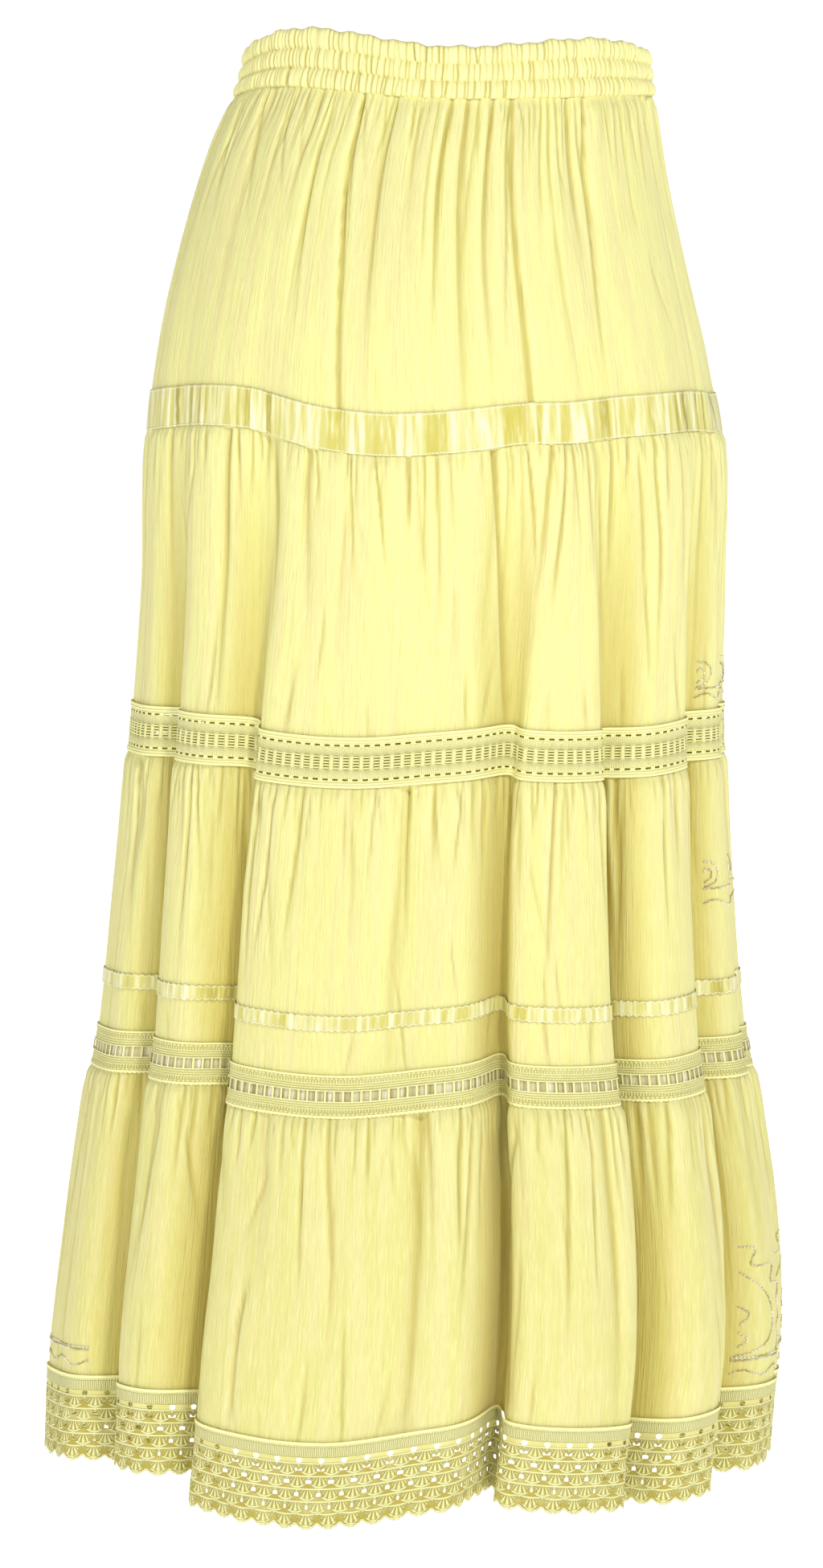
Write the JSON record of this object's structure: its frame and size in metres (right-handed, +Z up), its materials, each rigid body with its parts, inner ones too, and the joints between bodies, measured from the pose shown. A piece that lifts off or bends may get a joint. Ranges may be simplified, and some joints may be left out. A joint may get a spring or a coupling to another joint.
{
  "type": "tiered peasant skirt",
  "caption": "Ankle-length tiered cotton skirt in its worn, hollow form, with an elastic waistband, satin ribbons, lace bands and a lace hem.",
  "frame": {"origin": "middle of the waist, where the wearer's body holds the skirt up", "axes": "+Z up, along the skirt from hem to waist; -Y to the wearer's back; +X to the wearer's right"},
  "size_m": [0.4946, 0.4247, 0.9758],
  "materials": {
    "cotton": "pale yellow-green crinkled cotton gauze",
    "satin": "pale yellow satin ribbon with a high sheen",
    "lace": "pale yellow-green cotton crochet lace"
  },
  "bodies": {
    "root": {"waistband_back": "cotton", "waistband_front": "cotton", "tier_1_back": "cotton", "tier_1_front": "cotton", "wide_ribbon_back": "satin", "wide_ribbon_front": "satin", "tier_2_back": "cotton", "tier_2_front": "cotton", "lace_insertion_back": "lace", "lace_insertion_front": "lace", "tier_3_back": "cotton", "tier_3_front": "cotton", "narrow_ribbon_back": "satin", "narrow_ribbon_front": "satin", "beading_back": "lace", "beading_front": "lace", "threaded_ribbon_back": "satin", "threaded_ribbon_front": "satin", "tier_4_back": "cotton", "tier_4_front": "cotton", "hem_lace_back": "lace", "hem_lace_front": "lace"}
  },
  "joints": []
}
